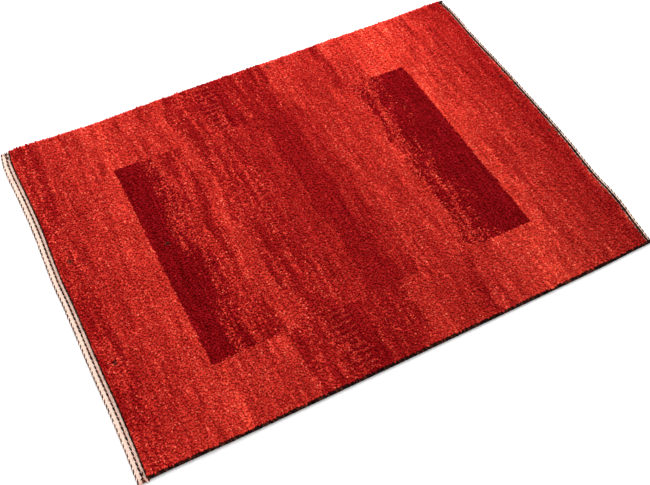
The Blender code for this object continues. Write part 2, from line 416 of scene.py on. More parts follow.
def soft_noise(tree, place, scale=1.0, **inputs):
    """The level of a noise texture, about one half, over these coordinates."""
    made = node(tree, "ShaderNodeTexNoise", {"Vector": place, "Scale": scale, **inputs})
    return made.outputs["Fac"]


def mixed(tree, share, a, b):
    """Colour a with colour b over it in this share."""
    made = tree.nodes.new("ShaderNodeMix")
    made.data_type = "RGBA"
    sockets = {s.identifier: s for s in made.inputs}
    for name, value in (("Factor_Float", share), ("A_Color", a), ("B_Color", b)):
        if isinstance(value, bpy.types.NodeSocket):
            tree.links.new(value, sockets[name])
        else:
            sockets[name].default_value = value
    return next(s for s in made.outputs if s.identifier == "Result_Color")


def new_group(name, inputs, outputs):
    """An empty shader group with its named sockets: the tree, its input node and its output node."""
    tree = bpy.data.node_groups.new(name, "ShaderNodeTree")
    for socket, kind, default in inputs:
        made = tree.interface.new_socket(socket, in_out="INPUT", socket_type=kind)
        if default is not None:
            made.default_value = default
    for socket, kind in outputs:
        tree.interface.new_socket(socket, in_out="OUTPUT", socket_type=kind)
    return tree, tree.nodes.new("NodeGroupInput"), tree.nodes.new("NodeGroupOutput")


def band_ramp(tree, factor, rows, column):
    """A stepped ramp over the rug's length from one column of a chart, its alpha the share of specks."""
    ramp = node(tree, "ShaderNodeValToRGB", {"Fac": factor})
    stops = ramp.color_ramp
    stops.interpolation = "CONSTANT"
    for k, row in enumerate(rows):
        at = (row[0] * MM + RUG_LENGTH / 2) / RUG_LENGTH
        stop = stops.elements[0] if k == 0 else stops.elements.new(at)
        stop.position = at
        stop.color = (*WOOLS[row[column]], row[3])
    stops.elements.remove(stops.elements[-1])
    return ramp


def specked(tree, x, rows, draw, swing):
    """The colour that a chart gives at x to a knot with this random draw."""
    factor = maths(tree, "DIVIDE", maths(tree, "ADD", x, RUG_LENGTH / 2), RUG_LENGTH)
    base, speck = band_ramp(tree, factor, rows, 1), band_ramp(tree, factor, rows, 2)
    share = maths(tree, "ADD", base.outputs["Alpha"], swing)
    is_speck = maths(tree, "LESS_THAN", draw, share)
    return mixed(tree, is_speck, base.outputs["Color"], speck.outputs["Color"])


def between(tree, value, low, high):
    """1 where a value lies between two limits."""
    return maths(
        tree, "MULTIPLY", maths(tree, "GREATER_THAN", value, low), maths(tree, "LESS_THAN", value, high)
    )


def knot_chart():
    """The group that gives the colour of the wool of the knot at a place, with painted light towards the far
    right corner and painted shade towards the near right one.
    """
    name = "knot_chart"
    found = bpy.data.node_groups.get(name)
    if found:
        return found
    tree, given, result = new_group(
        name,
        [
            ("Place", "NodeSocketVector", None),
            ("Draw", "NodeSocketVector", None),
            ("Abrash", "NodeSocketFloat", 3.2),
        ],
        [("Color", "NodeSocketColor")],
    )
    place = node(tree, "ShaderNodeSeparateXYZ", {0: given.outputs["Place"]})
    draw = node(tree, "ShaderNodeSeparateXYZ", {0: given.outputs["Draw"]})
    x, y = place.outputs["X"], place.outputs["Y"]

    ends = {k: v * MM for k, v in FIELD_ENDS.items()}
    sides = {k: v * MM for k, v in FIELD_SIDES.items()}
    run = ends["right_near"] - ends["left"]
    along = maths(tree, "DIVIDE", maths(tree, "SUBTRACT", x, ends["left"]), run)
    depth = sides["far"] - sides["near_left"]
    across = maths(tree, "DIVIDE", maths(tree, "SUBTRACT", y, sides["near_left"]), depth)
    slant = ends["right_near"] - ends["right_far"]
    field_x = maths(
        tree, "ADD", x, maths(tree, "MULTIPLY", maths(tree, "MULTIPLY", across, slant), along)
    )
    near_side = maths(
        tree,
        "ADD",
        maths(tree, "MULTIPLY", along, sides["near_right"] - sides["near_left"]),
        sides["near_left"],
    )
    in_field = maths(
        tree,
        "MULTIPLY",
        between(tree, field_x, ends["left"], ends["right_near"]),
        between(tree, y, near_side, sides["far"]),
    )

    flat_rows = vectors(tree, "MULTIPLY", given.outputs["Place"], ABRASH_SCALE)
    rows = soft_noise(tree, flat_rows, Detail=3.0, Roughness=0.7)
    swing = maths(tree, "MULTIPLY", maths(tree, "SUBTRACT", rows, 0.5), given.outputs["Abrash"])
    waves = soft_noise(tree, vectors(tree, "MULTIPLY", given.outputs["Place"], WANDER_SCALE))
    wander = maths(tree, "MULTIPLY_ADD", waves, 2 * WANDER * MM, -WANDER * MM)
    frayed = maths(tree, "MULTIPLY_ADD", draw.outputs["Y"], FRAY * MM, -FRAY / 2 * MM)
    frayed = maths(tree, "ADD", frayed, wander)
    surround = specked(tree, maths(tree, "ADD", x, frayed), SURROUND, draw.outputs["X"], swing)
    rung = maths(tree, "FRACT", maths(tree, "DIVIDE", y, RUNG_PITCH * MM))
    for start, end, share in COMBS:
        here = between(tree, x, start * MM, end * MM)
        lit = maths(tree, "MULTIPLY", here, maths(tree, "LESS_THAN", rung, share))
        surround = mixed(tree, maths(tree, "MULTIPLY", lit, RUNG_LIGHT), surround, (*WOOLS["bright"], 1))
    field = specked(tree, maths(tree, "ADD", field_x, frayed), FIELD, draw.outputs["X"], swing)
    colour = mixed(tree, in_field, surround, field)
    is_pale = maths(tree, "GREATER_THAN", draw.outputs["Z"], maths(tree, "SUBTRACT", 1.0, PALE_SHARE))
    colour = mixed(tree, is_pale, colour, vectors(tree, "MULTIPLY", colour, FADE))
    # Painted light and shade: lighter towards the far right corner, darker towards the near right one
    painted_light = maths(tree, "MULTIPLY", maths(tree, "ADD", x, RUG_LENGTH / 2), maths(tree, "MULTIPLY", y, PAINTED_LIGHT_SLOPE))
    colour = scaled(tree, colour, maths(tree, "ADD", painted_light, 1.0))

    flat = vectors(tree, "MULTIPLY", given.outputs["Place"], (1, 1, 0))
    for spot_x, spot_y in STRAY_KNOTS:
        spot = (spot_x * MM, spot_y * MM, 0)
        away = node(tree, "ShaderNodeVectorMath", {0: flat, 1: spot}, operation="DISTANCE")
        stray = maths(tree, "LESS_THAN", away.outputs["Value"], STRAY_SIZE * MM)
        colour = mixed(tree, maths(tree, "MULTIPLY", stray, STRAY_COVER), colour, (*WOOLS["brown"], 1))
    tree.links.new(colour, result.inputs["Color"])
    return tree


def wool_finish():
    """The group that turns a plain colour into dyed wool: streaks of dye, uneven knots and fine fibres, with
    painted shade that darkens it towards the roots.
    """
    name = "wool_finish"
    found = bpy.data.node_groups.get(name)
    if found:
        return found
    tree, given, result = new_group(
        name,
        [
            ("Color", "NodeSocketColor", None),
            ("Place", "NodeSocketVector", None),
            ("Surface", "NodeSocketVector", None),
            ("Draw", "NodeSocketFloat", 0.5),
            ("Tip", "NodeSocketFloat", 1.0),
            ("Unevenness", "NodeSocketFloat", 0.25),
            ("Streaks", "NodeSocketFloat", 0.3),
            ("Painted Shade", "NodeSocketFloat", 0.5),
            ("Depth Richness", "NodeSocketFloat", 1.0),
        ],
        [("Color", "NodeSocketColor"), ("Roughness", "NodeSocketFloat"), ("Height", "NodeSocketFloat")],
    )
    place = given.outputs["Place"]
    streaks = soft_noise(tree, vectors(tree, "MULTIPLY", place, STREAK_SCALE), Detail=2.0, Roughness=0.6)
    groups = soft_noise(tree, place, KNOT_GROUP_SCALE, Detail=1.0, Roughness=0.5)
    fibres = soft_noise(tree, given.outputs["Surface"], Detail=2.0, Roughness=0.65, Distortion=0.4)

    def swing(value, amount):
        """1, raised or lowered by up to about this amount as the value leaves one half."""
        return maths(tree, "MULTIPLY_ADD", maths(tree, "SUBTRACT", value, 0.5), amount, 1.0)

    unevenness = maths(tree, "MULTIPLY", given.outputs["Unevenness"], UNEVEN_GAIN)
    streak = swing(streaks, maths(tree, "MULTIPLY", given.outputs["Streaks"], STREAK_GAIN))
    knot = swing(given.outputs["Draw"], unevenness)
    group = swing(groups, unevenness)
    fibre = swing(fibres, 1.0)
    # Painted shade: the colour is darkened towards the root of a tuft and in the hollows of a weave, where
    # shadow falls
    rootward = maths(tree, "SUBTRACT", 1.0, given.outputs["Tip"], clamp=True)
    shade = maths(tree, "SUBTRACT", 1.0, maths(tree, "MULTIPLY", given.outputs["Painted Shade"], rootward))
    level = streak
    for part in (knot, group, fibre, shade):
        level = maths(tree, "MULTIPLY", level, part)
    level = maths(tree, "MINIMUM", maths(tree, "MAXIMUM", level, DARKEST), LIGHTEST)
    # Depth Richness lowers green and blue more than red where the level is low, so darker wool, painted shade
    # included, turns a deeper red
    rich = maths(tree, "POWER", level, given.outputs["Depth Richness"])
    levels = node(tree, "ShaderNodeCombineXYZ", {"X": level, "Y": rich, "Z": rich})
    dyed = vectors(tree, "MULTIPLY", given.outputs["Color"], levels.outputs[0])
    roughness = maths(tree, "MULTIPLY_ADD", fibres, FIBRE_ROUGHNESS, ROUGHNESS)
    for value, output in ((dyed, "Color"), (roughness, "Roughness"), (fibres, "Height")):
        tree.links.new(value, result.inputs[output])
    return tree


def use(tree, group, inputs):
    """A group node placed in a material."""
    return node(tree, "ShaderNodeGroup", inputs, node_tree=group)


def attribute(tree, name):
    return node(tree, "ShaderNodeAttribute", attribute_name=name)


def soft_nap():
    """The group that turns the shading of cut pile towards the rug's own plane, as loose fibres do."""
    name = "soft_nap"
    found = bpy.data.node_groups.get(name)
    if found:
        return found
    tree, given, result = new_group(
        name, [("Softness", "NodeSocketFloat", NAP_SOFTNESS)], [("Normal", "NodeSocketVector")]
    )
    own = tree.nodes.new("ShaderNodeNewGeometry").outputs["Normal"]
    kept = scaled(tree, own, maths(tree, "SUBTRACT", 1.0, given.outputs["Softness"]))
    level = scaled(tree, (0.0, 0.0, 1.0), given.outputs["Softness"])
    turned = vectors(tree, "NORMALIZE", vectors(tree, "ADD", kept, level))
    tree.links.new(turned, result.inputs["Normal"])
    return tree


def wool_material(name, colour_of, finish, softness):
    """A matt wool. colour_of gives, for the tree, its colour, place, surface, draw and tip."""
    found = bpy.data.materials.get(name)
    if found:
        return found
    made = bpy.data.materials.new(name)
    made.use_nodes = True
    tree = made.node_tree
    shader = tree.nodes["Principled BSDF"]
    colour, place, surface, draw, tip = colour_of(tree)
    inputs = {"Color": colour, "Place": place, "Surface": surface, "Draw": draw, "Tip": tip, **finish}
    wool = use(tree, wool_finish(), inputs)
    relief = {"Height": wool.outputs["Height"], "Strength": FIBRE_BUMP, "Distance": FIBRE_RELIEF}
    raised = node(tree, "ShaderNodeBump", relief)
    if softness:
        nap = use(tree, soft_nap(), {"Softness": softness})
        tree.links.new(nap.outputs["Normal"], raised.inputs["Normal"])
    tree.links.new(wool.outputs["Color"], shader.inputs["Base Color"])
    tree.links.new(wool.outputs["Roughness"], shader.inputs["Roughness"])
    tree.links.new(raised.outputs["Normal"], shader.inputs["Normal"])
    shader.inputs["Specular IOR Level"].default_value = WOOL_SHEEN
    return made


def object_place(tree):
    return node(tree, "ShaderNodeTexCoord").outputs["Object"]


def along_yarn(tree, draw):
    """Coordinates in which fibres run along a yarn, apart for each yarn."""
    own = node(tree, "ShaderNodeUVMap", uv_map="own_map").outputs["UV"]
    shift = scaled(tree, draw, YARN_MAP_SHIFT)
    return vectors(tree, "ADD", vectors(tree, "MULTIPLY", own, YARN_FIBRES), shift)


def random_value(tree, place, pitch):
    """A random number that stays the same over each cell of this pitch."""
    snapped = vectors(tree, "SNAP", place, (pitch, pitch, pitch))
    made = node(tree, "ShaderNodeTexWhiteNoise", {"Vector": snapped}, noise_dimensions="3D")
    return made.outputs["Value"]


def ply_draw(tree, place):
    """A random vector for each ply of the wool, a small uneven cell of space."""
    cells = node(tree, "ShaderNodeTexVoronoi", {"Vector": place, "Scale": 1 / PLY})
    return cells.outputs["Color"]


def charted_tuft(tree):
    """A tuft's own wool, by the place of its knot."""
    root, draw = attribute(tree, "root").outputs["Vector"], attribute(tree, "draw").outputs["Vector"]
    chart = use(tree, knot_chart(), {"Place": root, "Draw": ply_draw(tree, object_place(tree))})
    single = node(tree, "ShaderNodeSeparateXYZ", {0: draw}).outputs["Y"]
    # The tip attribute rises towards the tuft's tip, and towards its root the wool gets painted shade
    tip = attribute(tree, "tip").outputs["Fac"]
    return chart.outputs["Color"], root, along_yarn(tree, draw), single, tip


def charted_ground(tree):
    """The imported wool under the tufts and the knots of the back, by place."""
    place = object_place(tree)
    drawn = ply_draw(tree, place)
    chart = use(tree, knot_chart(), {"Place": place, "Draw": drawn})
    fibres = vectors(tree, "MULTIPLY", place, GROUND_FIBRES)
    single = node(tree, "ShaderNodeSeparateXYZ", {0: drawn}).outputs["Y"]
    # The ground is painted darker, as wool low down in a tuft, for the shade between the tufts
    return chart.outputs["Color"], place, fibres, single, GROUND_TIP


def yarn_of(name, speck, share, second=None):
    """Wool of one colour with some yarns of another, by each yarn's own draw.

    A second wool goes to the yarns whose attribute, dye, is 1.
    """

    def colour_of(tree):
        drawn = attribute(tree, "draw").outputs["Vector"]
        draw = node(tree, "ShaderNodeSeparateXYZ", {0: drawn})
        is_speck = maths(tree, "LESS_THAN", draw.outputs["X"], share)
        colour = mixed(tree, is_speck, (*WOOLS[name], 1), (*WOOLS[speck], 1))
        if second:
            colour = mixed(tree, attribute(tree, "dye").outputs["Fac"], colour, (*WOOLS[second], 1))
        return colour, object_place(tree), along_yarn(tree, drawn), draw.outputs["Y"], 1.0

    return colour_of


def kilim_weft(tree):
    """Cream wefts, with pinkish specks that thicken towards the pile, and painted shade in the hollows of the
    weave.
    """
    place = object_place(tree)
    value = random_value(tree, vectors(tree, "MULTIPLY", place, SPECK_STRETCH), SPECK_CELL)
    inward = attribute(tree, "inward").outputs["Fac"]
    share = maths(tree, "MULTIPLY_ADD", inward, SPECK_INWARD, SPECK_AT_EDGE, clamp=True)
    is_speck = maths(tree, "MULTIPLY", maths(tree, "LESS_THAN", value, share), SPECK_COVER)
    pink = mixed(tree, is_speck, (*WOOLS["cream"], 1), (*WOOLS["peach"], 1))
    fibres = vectors(tree, "MULTIPLY", place, WEFT_FIBRES)
    return pink, place, fibres, value, attribute(tree, "tip").outputs["Fac"]


def material(name):
    """One of the rug's wools."""
    pile = {"Unevenness": 0.10, "Streaks": 0.38, "Depth Richness": PILE_RICHNESS}
    # Painted Shade is how much darker the tufts are painted towards their roots, the packed ground as a
    # whole, and the wefts in the weave's hollows
    recipes = {
        "tuft_wool": (charted_tuft, {**pile, "Painted Shade": 0.2}),
        "packed_wool": (charted_ground, {**pile, "Painted Shade": 0.5}),
        "weft_wool": (kilim_weft, {"Unevenness": 0.10, "Streaks": 0.04, "Painted Shade": 0.28}),
        "twined_yarn": (yarn_of("brown", "black", 0.6, "peach"), {"Unevenness": 0.25, "Streaks": 0.0}),
        "whip_yarn": (yarn_of("brown", "black", 0.5, "cream"), {"Unevenness": 0.25, "Streaks": 0.0}),
        "wrap_yarn": (yarn_of("black", "brown", 0.35), {"Unevenness": 0.4, "Streaks": 0.0}),
        "loose_fibre": (yarn_of("cream", "peach", 0.3), {"Unevenness": 0.1, "Streaks": 0.0}),
    }
    colour_of, finish = recipes[name]
    softness = NAP_SOFTNESS if name in ("tuft_wool", "packed_wool") else 0.0
    return wool_material(name, colour_of, finish, softness)


def copies_tree():
    """The Geometry Nodes tree that sets a copy of one yarn on each point, as the points' attributes say."""
    name = "placed_yarns"
    found = bpy.data.node_groups.get(name)
    if found:
        return found
    tree = bpy.data.node_groups.new(name, "GeometryNodeTree")
    for socket, kind in (
        ("Points", "NodeSocketGeometry"),
        ("Yarn", "NodeSocketObject"),
        ("Wool", "NodeSocketMaterial"),
        ("Turn Spread", "NodeSocketFloat"),
        ("Size Spread", "NodeSocketFloat"),
        ("Seed", "NodeSocketInt"),
    ):
        tree.interface.new_socket(socket, in_out="INPUT", socket_type=kind)
    tree.interface.new_socket("Mesh", in_out="OUTPUT", socket_type="NodeSocketGeometry")
    given, result = tree.nodes.new("NodeGroupInput"), tree.nodes.new("NodeGroupOutput")
    seed = given.outputs["Seed"]

    def drawn(kind, low, high, step):
        made = tree.nodes.new("FunctionNodeRandomValue")
        made.data_type = kind
        sockets = {s.identifier: s for s in made.inputs}
        tail = {"FLOAT_VECTOR": "", "FLOAT": "_001"}[kind]
        sockets["Min" + tail].default_value = low
        sockets["Max" + tail].default_value = high
        tree.links.new(maths(tree, "ADD", seed, float(step)), sockets["Seed"])
        return next(s for s in made.outputs if s.enabled)

    def stored(geometry, attribute_name, value):
        made = node(
            tree,
            "GeometryNodeStoreNamedAttribute",
            {"Geometry": geometry, "Name": attribute_name},
            data_type="FLOAT_VECTOR",
            domain="POINT",
        )
        tree.links.new(value, made.inputs["Value"])
        return made.outputs["Geometry"]

    def named(attribute_name):
        made = node(
            tree, "GeometryNodeInputNamedAttribute", {"Name": attribute_name}, data_type="FLOAT_VECTOR"
        )
        return made.outputs["Attribute"]

    points = stored(given.outputs["Points"], "root", tree.nodes.new("GeometryNodeInputPosition").outputs[0])
    points = stored(points, "draw", drawn("FLOAT_VECTOR", (0, 0, 0), (1, 1, 1), 1))
    wobble = scaled(tree, drawn("FLOAT_VECTOR", (-1, -1, -1), (1, 1, 1), 2), given.outputs["Turn Spread"])
    turn = node(tree, "FunctionNodeEulerToRotation", {0: vectors(tree, "ADD", named("turn"), wobble)})
    grow = maths(tree, "MULTIPLY_ADD", drawn("FLOAT", -1.0, 1.0, 3), given.outputs["Size Spread"], 1.0)
    size = scaled(tree, named("size"), grow)
    yarn = node(tree, "GeometryNodeObjectInfo", {"Object": given.outputs["Yarn"]})
    copies = node(
        tree,
        "GeometryNodeInstanceOnPoints",
        {
            "Points": points,
            "Instance": yarn.outputs["Geometry"],
            "Rotation": turn.outputs[0],
            "Scale": size,
        },
    )
    real = node(tree, "GeometryNodeRealizeInstances", {"Geometry": copies.outputs[0]})
    dyed = node(
        tree, "GeometryNodeSetMaterial", {"Geometry": real.outputs[0], "Material": given.outputs["Wool"]}
    )
    tree.links.new(dyed.outputs[0], result.inputs["Mesh"])
    return tree


def new_mesh(name, points, faces=()):
    data = bpy.data.meshes.new(name)
    data.from_pydata(np.asarray(points).tolist(), [], faces)
    return data


def shown(name, data):
    """An object of this mesh in the scene."""
    made = bpy.data.objects.new(name, data)
    bpy.context.scene.collection.objects.link(made)
    return made


def yarn_mesh(name, rows, sides, closed=False):
    """A yarn swept through rows of (x, z, width across, thickness), in millimetres, with its own flat map.

    It has an attribute, tip, that rises from 0 at its start to 1 at its end.
    """
    path = np.array(rows, float) * MM
    places, last = path[:, :2], len(path) - 1
    after, before = np.roll(places, -1, 0), np.roll(places, 1, 0)
    if not closed:
        after[-1], before[0] = places[-1], places[0]
    ahead = after - before
    ahead /= np.linalg.norm(ahead, axis=1)[:, None]
    points, rings, tips = [], [], []
    for k, (x, z, wide, thick) in enumerate(path):
        count = sides if wide else 1
        rings.append([len(points) + s for s in range(count)])
        for s in range(count):
            turn = 2 * math.pi * (s + 0.5) / sides
            out = thick / 2 * math.cos(turn)
            points.append((x - ahead[k, 1] * out, wide / 2 * math.sin(turn), z + ahead[k, 0] * out))
            tips.append(k / last)
    faces, map_places = [], []
    for k in range(last + closed):
        low, high = rings[k], rings[(k + 1) % len(rings)]
        for s in range(sides):
            t = (s + 1) % sides
            corners = [(low, s, 0), (low, t, 1), (high, t, 1), (high, s, 0)]
            if len(low) == 1:
                corners.pop(0)
            if len(high) == 1:
                corners.pop()
            faces.append([ring[place % len(ring)] for ring, place, _step in corners])
            for ring, _place, step in corners:
                map_places.append(((s + step) / sides, (k + (ring is high)) / (last + closed)))
    data = new_mesh(name, points, faces)
    data.shade_smooth()
    data.attributes.new("tip", "FLOAT", "POINT").data.foreach_set("value", tips)
    data.uv_layers.new(name="own_map").data.foreach_set("uv", np.ravel(map_places))
    return data


def give_cells(data, yarn, count):
    """A map named OFBake, with a cell of its own for each of count copies of a yarn."""
    own = np.empty(len(yarn.loops) * 2)
    yarn.uv_layers["own_map"].data.foreach_get("uv", own)
    own = own.reshape(-1, 2) * (1 - 2 * CELL_MARGIN) + CELL_MARGIN
    columns = math.ceil(math.sqrt(count))
    cell = np.arange(count)
    corner = np.stack((cell % columns, cell // columns), 1)
    places = (own[None] + corner[:, None]) / columns
    data.uv_layers.new(name="OFBake").data.foreach_set("uv", places.ravel())


def placed_yarns(name, rows, sides, points, turns, sizes, wool, spread, settings, closed=False, dye=0.0):
    """One piece: a copy of a yarn at each point, turned and sized.

    spread is the random share of (turn, size). dye is 1 for the yarns of a second wool.
    """
    yarn = bpy.data.objects.new(f"{name}_yarn", yarn_mesh(f"{name}_yarn", rows, sides, closed))
    cloud = new_mesh(name, points)
    for key, values in (("turn", turns), ("size", sizes)):
        full = np.broadcast_to(np.asarray(values, float), (len(points), 3))
        cloud.attributes.new(key, "FLOAT_VECTOR", "POINT").data.foreach_set("vector", full.ravel())
    dyes = np.broadcast_to(np.asarray(dye, float), len(points))
    cloud.attributes.new("dye", "FLOAT", "POINT").data.foreach_set("value", dyes)
    made = shown(name, cloud)
    tree = copies_tree()
    ids = {item.name: item.identifier for item in tree.interface.items_tree if item.in_out == "INPUT"}
    modifier = made.modifiers.new("placed_yarns", "NODES")
    modifier.node_group = tree
    for key, value in (
        ("Yarn", yarn),
        ("Wool", wool),
        ("Turn Spread", spread[0]),
        ("Size Spread", spread[1]),
        ("Seed", settings.seed),
    ):
        modifier[ids[key]] = value
    made.update_tag()
    graph = bpy.context.evaluated_depsgraph_get()
    graph.update()
    made_mesh = bpy.data.meshes.new_from_object(made.evaluated_get(graph))
    made.modifiers.remove(modifier)
    made.data = made_mesh
    made_mesh.name = name
    for key in ("turn", "size"):
        if key in made_mesh.attributes:
            made_mesh.attributes.remove(made_mesh.attributes[key])
    give_cells(made_mesh, yarn.data, len(points))
    bpy.data.objects.remove(yarn)
    return made


def finish_piece(piece, slot, *nodes):
    """Rides the piece on the rug and hides the imported solids that it stands for. Its slot, the name of its
    finish, is not used.
    """
    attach(piece, BODY)
    if nodes:
        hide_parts(*nodes)
    return piece


def closed_slab(name, top):
    """A closed mesh from a (rows, columns, 3) grid of points down to a flat underside on the floor."""
    rows, columns = top.shape[:2]
    last_i, last_j = rows - 1, columns - 1
    rim = [(i, j) for i in range(rows) for j in range(columns) if i in (0, last_i) or j in (0, last_j)]
    feet = {place: rows * columns + k for k, place in enumerate(rim)}
    under = np.array([(*top[place][:2], 0.0) for place in rim])
    points = np.concatenate((top.reshape(-1, 3), under))

    def at(i, j):
        return i * columns + j

    faces = []
    for i in range(last_i):
        for j in range(last_j):
            faces.append((at(i, j), at(i + 1, j), at(i + 1, j + 1), at(i, j + 1)))
    for j in range(last_j):
        near = [feet[i, j] for i in (range(rows) if j == 0 else (0, last_i))]
        far = [feet[i, j + 1] for i in (range(rows) if j + 1 == last_j else (0, last_i))]
        faces.append((*near[::-1], *far))
    for i in range(last_i):
        for j, (a, b) in ((0, (i, i + 1)), (last_j, (i + 1, i))):
            faces.append((at(b, j), at(a, j), feet[a, j], feet[b, j]))
    for j in range(last_j):
        for i, (a, b) in ((0, (j + 1, j)), (last_i, (j, j + 1))):
            faces.append((at(i, b), at(i, a), feet[i, a], feet[i, b]))
    return new_mesh(name, points, faces)


def plan_map(data):
    """A map named OFBake that looks straight down on a piece and fills the square."""
    places = np.empty(len(data.vertices) * 3)
    data.vertices.foreach_get("co", places)
    flat = places.reshape(-1, 3)[:, :2]
    flat = (flat - flat.min(0)) / (flat.max(0) - flat.min(0))
    corners = np.empty(len(data.loops), dtype=np.int32)
    data.loops.foreach_get("vertex_index", corners)
    data.uv_layers.new(name="OFBake").data.foreach_set("uv", flat[corners].ravel())


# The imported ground: its cells along and across, its depth below the pile's surface, and how far its rim
# lies inside the pile's foot
GROUND_CELLS = (120, 86)
GROUND_SINK = 3.9 * MM
GROUND_INSET = 1.2 * MM


def pile_ground():
    """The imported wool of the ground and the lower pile, one closed slab that the tufts stand on."""
    inset = GROUND_INSET / RUG_LENGTH, GROUND_INSET / RUG_WIDTH
    u, v = np.meshgrid(
        np.linspace(inset[0], 1 - inset[0], GROUND_CELLS[0] + 1),
        np.linspace(inset[1], 1 - inset[1], GROUND_CELLS[1] + 1),
        indexing="ij",
    )
    x, y = foot_point(u, v)
    z = pile_height(x.ravel(), y.ravel()).reshape(x.shape) - GROUND_SINK
    data = closed_slab("pile_ground", np.stack((x, y, z), 2))
    data.shade_smooth()
    data.set_sharp_from_angle(angle=SHARP_ANGLE)
    data.materials.append(material("packed_wool"))
    return shown("pile_ground", data)


# A tuft from its root: (reach, height, width across, thickness)
TUFT = (
    (0.0, 0.0, 0.86, 0.8),
    (0.12, 0.68, 0.96, 0.86),
    (0.30, 1.0, 0.0, 0.0),
)
TUFT_SIDES = 4

# How far tufts near a rim lean over it: (tilt at the rim in degrees, added share of length)
RIM_LEAN = {"near": (52, 0.15), "far": (56, 0.2), "left": (12, -0.1), "right": (4, -0.05)}
RIM_DEPTH = 4.5 * MM

# How strongly the rims' tufts spill over: the least, what clumps of them add, the clumps' length, and a slant
# that keeps the near and far rims apart
SPILL_LEAST = 0.35
SPILL_CLUMPS = 1.4
SPILL_SLANT = 2.3
CLUMP = 14 * MM

# How far a knot may lie off its place, in pitches, and the random share of its tuft's turn and size
KNOT_JITTER = 0.3
TUFT_SPREAD = (0.1, 0.14)

# The share of a tuft's length below the pile's surface
TUFT_DEPTH = 0.86

# The share of the pile's lean that goes to the left, and the added length of a tuft that leans 45 degrees
LEAN_LEFT = 0.3
LEAN_LONGER = 0.25


def tuft_shape(length, width):
    """The rows of a tuft of unit length and width, its reach in proportion to its length."""
    return [
        (reach * length / width / MM, high / MM, wide / MM, thick / MM) for reach, high, wide, thick in TUFT
    ]


def tuft_rows(settings):
    """The places of the knots: u and v, row by row from the left."""
    rows = round((RUG_LENGTH - KILIM_LEFT - KILIM_RIGHT) / settings.knot_pitch)
    columns = round((RUG_WIDTH - 2 * (SELVEDGE_DIAMETER + GAP)) / settings.knot_pitch)
    return np.meshgrid(
        (np.arange(rows) + 0.5) / rows, (np.arange(columns) + 0.5) / columns, indexing="ij"
    )


def clumps(along, dice):
    """Smooth random values between 0 and 1 that change every few knots along a line."""
    at = np.arange(along.min(), along.max() + CLUMP, CLUMP)
    return np.interp(along, at, dice.uniform(0, 1, len(at)))


def pile_tufts(settings):
    """The tufts of every knot, in strips that follow the rows of knots."""
    dice = np.random.default_rng(settings.seed)
    u, v = tuft_rows(settings)
    pitch_u, pitch_v = 1 / u.shape[0], 1 / u.shape[1]
    u = np.clip(u + dice.uniform(-KNOT_JITTER, KNOT_JITTER, u.shape) * pitch_u, 0, 1)
    v = np.clip(v + dice.uniform(-KNOT_JITTER, KNOT_JITTER, v.shape) * pitch_v, 0, 1)
    x, y = foot_point(u, v)
    length, width = settings.tuft_length, settings.tuft_width
    z = pile_height(x.ravel(), y.ravel()).reshape(x.shape) - length * TUFT_DEPTH
    ruffle = math.tan(settings.pile_ruffle)
    lean_x = dice.normal(0, ruffle, x.shape) - LEAN_LEFT * math.tan(settings.pile_lean)
    lean_y = dice.normal(0, ruffle, x.shape) - math.tan(settings.pile_lean)
    tall = np.full_like(x, length)
    spill = SPILL_LEAST + SPILL_CLUMPS * clumps(x + SPILL_SLANT * y, dice)
    for rim, distance, way in (
        ("near", v * RUG_WIDTH, -1),
        ("far", (1 - v) * RUG_WIDTH, 1),
        ("left", u * RUG_LENGTH, -1),
        ("right", (1 - u) * RUG_LENGTH, 1),
    ):
        degrees, longer = RIM_LEAN[rim]
        closeness = np.exp(-distance / RIM_DEPTH)
        push = way * math.tan(math.radians(degrees)) * closeness * spill
        tall += length * longer * closeness
        if rim in ("near", "far"):
            lean_y = lean_y * (1 - closeness) + push
        else:
            lean_x = lean_x * (1 - closeness) + push
    tilt, heading = np.arctan(np.hypot(lean_x, lean_y)), np.arctan2(lean_y, lean_x)
    turns = np.stack((np.zeros_like(tilt), tilt, heading), 2)
    points = np.stack((x, y, z), 2)
    tall *= 1 + LEAN_LONGER * np.abs(np.tan(tilt)).clip(0, 1)
    sizes = np.stack((np.full_like(tall, width), np.full_like(tall, width), tall), 2)
    made = []
    for k, strip in enumerate(np.array_split(np.arange(u.shape[0]), PILE_STRIPS)):
        piece = placed_yarns(
            f"pile_tufts_{k + 1}",
            tuft_shape(length, width),
            TUFT_SIDES,
            points[strip].reshape(-1, 3),
            turns[strip].reshape(-1, 3),
            sizes[strip].reshape(-1, 3),
            material("tuft_wool"),
            TUFT_SPREAD,
            settings,
        )
        made.append(piece)
    return made


# Rows of tufts on the pile's walls, and the side each is on: (side, height, turn out from upright in
# degrees, share of the length, pitch)
WALL_ROWS = (
    ("near", 7.4, 58, 0.70, 3.4),
    ("near", 4.9, 74, 0.55, 3.4),
    ("far", 8.6, 62, 1.15, 2.2),
    ("far", 7.0, 74, 1.25, 2.4),
    ("far", 4.9, 74, 0.55, 3.4),
    ("left", 7.4, 58, 0.40, 3.4),
    ("left", 4.9, 74, 0.32, 3.4),
    ("right", 7.4, 58, 0.36, 3.4),
    ("right", 4.9, 74, 0.28, 3.4),
)

# The side's length, its place in u or v, and the way out of it in degrees
WALL_SIDES = {
    "near": (RUG_LENGTH, "v", 0.0, -90),
    "far": (RUG_LENGTH, "v", 1.0, 90),
    "left": (RUG_WIDTH, "u", 0.0, 180),
    "right": (RUG_WIDTH, "u", 1.0, 0),
}

# Where a wall tuft may lie within its pitch, its random height in millimetres, its random turns out in
# degrees and along in radians, its share of a tuft's width, and the random share of its turn and size
WALL_JITTER = (0.2, 0.8)
WALL_UNEVEN = 0.6
WALL_TURN_OUT = 6
WALL_TURN_ALONG = 0.22
WALL_WIDE = 0.8
WALL_SPREAD = (0.1, 0.12)


